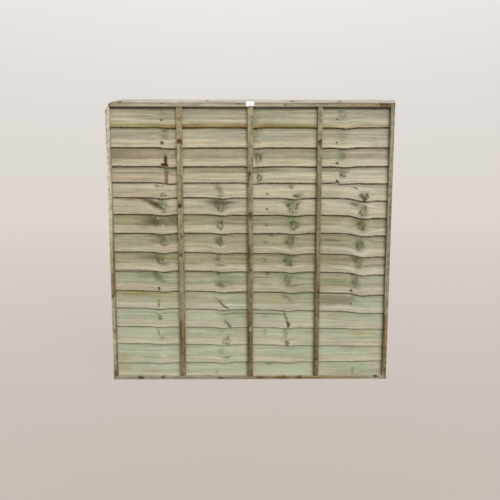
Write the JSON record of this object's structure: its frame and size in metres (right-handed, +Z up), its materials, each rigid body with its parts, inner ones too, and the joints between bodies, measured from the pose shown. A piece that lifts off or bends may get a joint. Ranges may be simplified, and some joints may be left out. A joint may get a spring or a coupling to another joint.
{
  "type": "overlap fence panel",
  "caption": "Overlap fence panel of thin waney-edged boards lapped between front and back battens, framed by stiles and rails under a bevelled weather cap.",
  "frame": {"origin": "on the outer edge of the front stile at the left end, the edge that stands at a post, at half the panel's height and in the middle of the stile's depth", "axes": "+X along the boards from the left end to the right, +Y from the front to the back, +Z up"},
  "size_m": [1.829, 0.0511, 1.829],
  "materials": {
    "cap_wood": "sawn, pale on top",
    "rail_wood": "sawn, pressure treated",
    "batten_wood": "sawn, pressure treated",
    "upper_board_wood": "sawn, pressure treated",
    "middle_board_wood": "sawn, pressure treated",
    "lower_board_wood": "sawn, pressure treated"
  },
  "bodies": {
    "root": {"weather_cap": "cap_wood", "top_rail_front": "rail_wood", "top_rail_back": "rail_wood", "bottom_rail_front": "rail_wood", "bottom_rail_back": "rail_wood", "stile_left_front": "batten_wood", "stile_left_back": "batten_wood", "stile_right_front": "batten_wood", "stile_right_back": "batten_wood", "batten_left_front": "batten_wood", "batten_left_back": "batten_wood", "batten_middle_front": "batten_wood", "batten_middle_back": "batten_wood", "batten_right_front": "batten_wood", "batten_right_back": "batten_wood", "board_01": "upper_board_wood", "board_02": "upper_board_wood", "board_03": "upper_board_wood", "board_04": "upper_board_wood", "board_05": "upper_board_wood", "board_06": "middle_board_wood", "board_07": "middle_board_wood", "board_08": "middle_board_wood", "board_09": "middle_board_wood", "board_10": "middle_board_wood", "board_11": "lower_board_wood", "board_12": "lower_board_wood", "board_13": "lower_board_wood", "board_14": "lower_board_wood", "board_15": "lower_board_wood"}
  },
  "joints": []
}
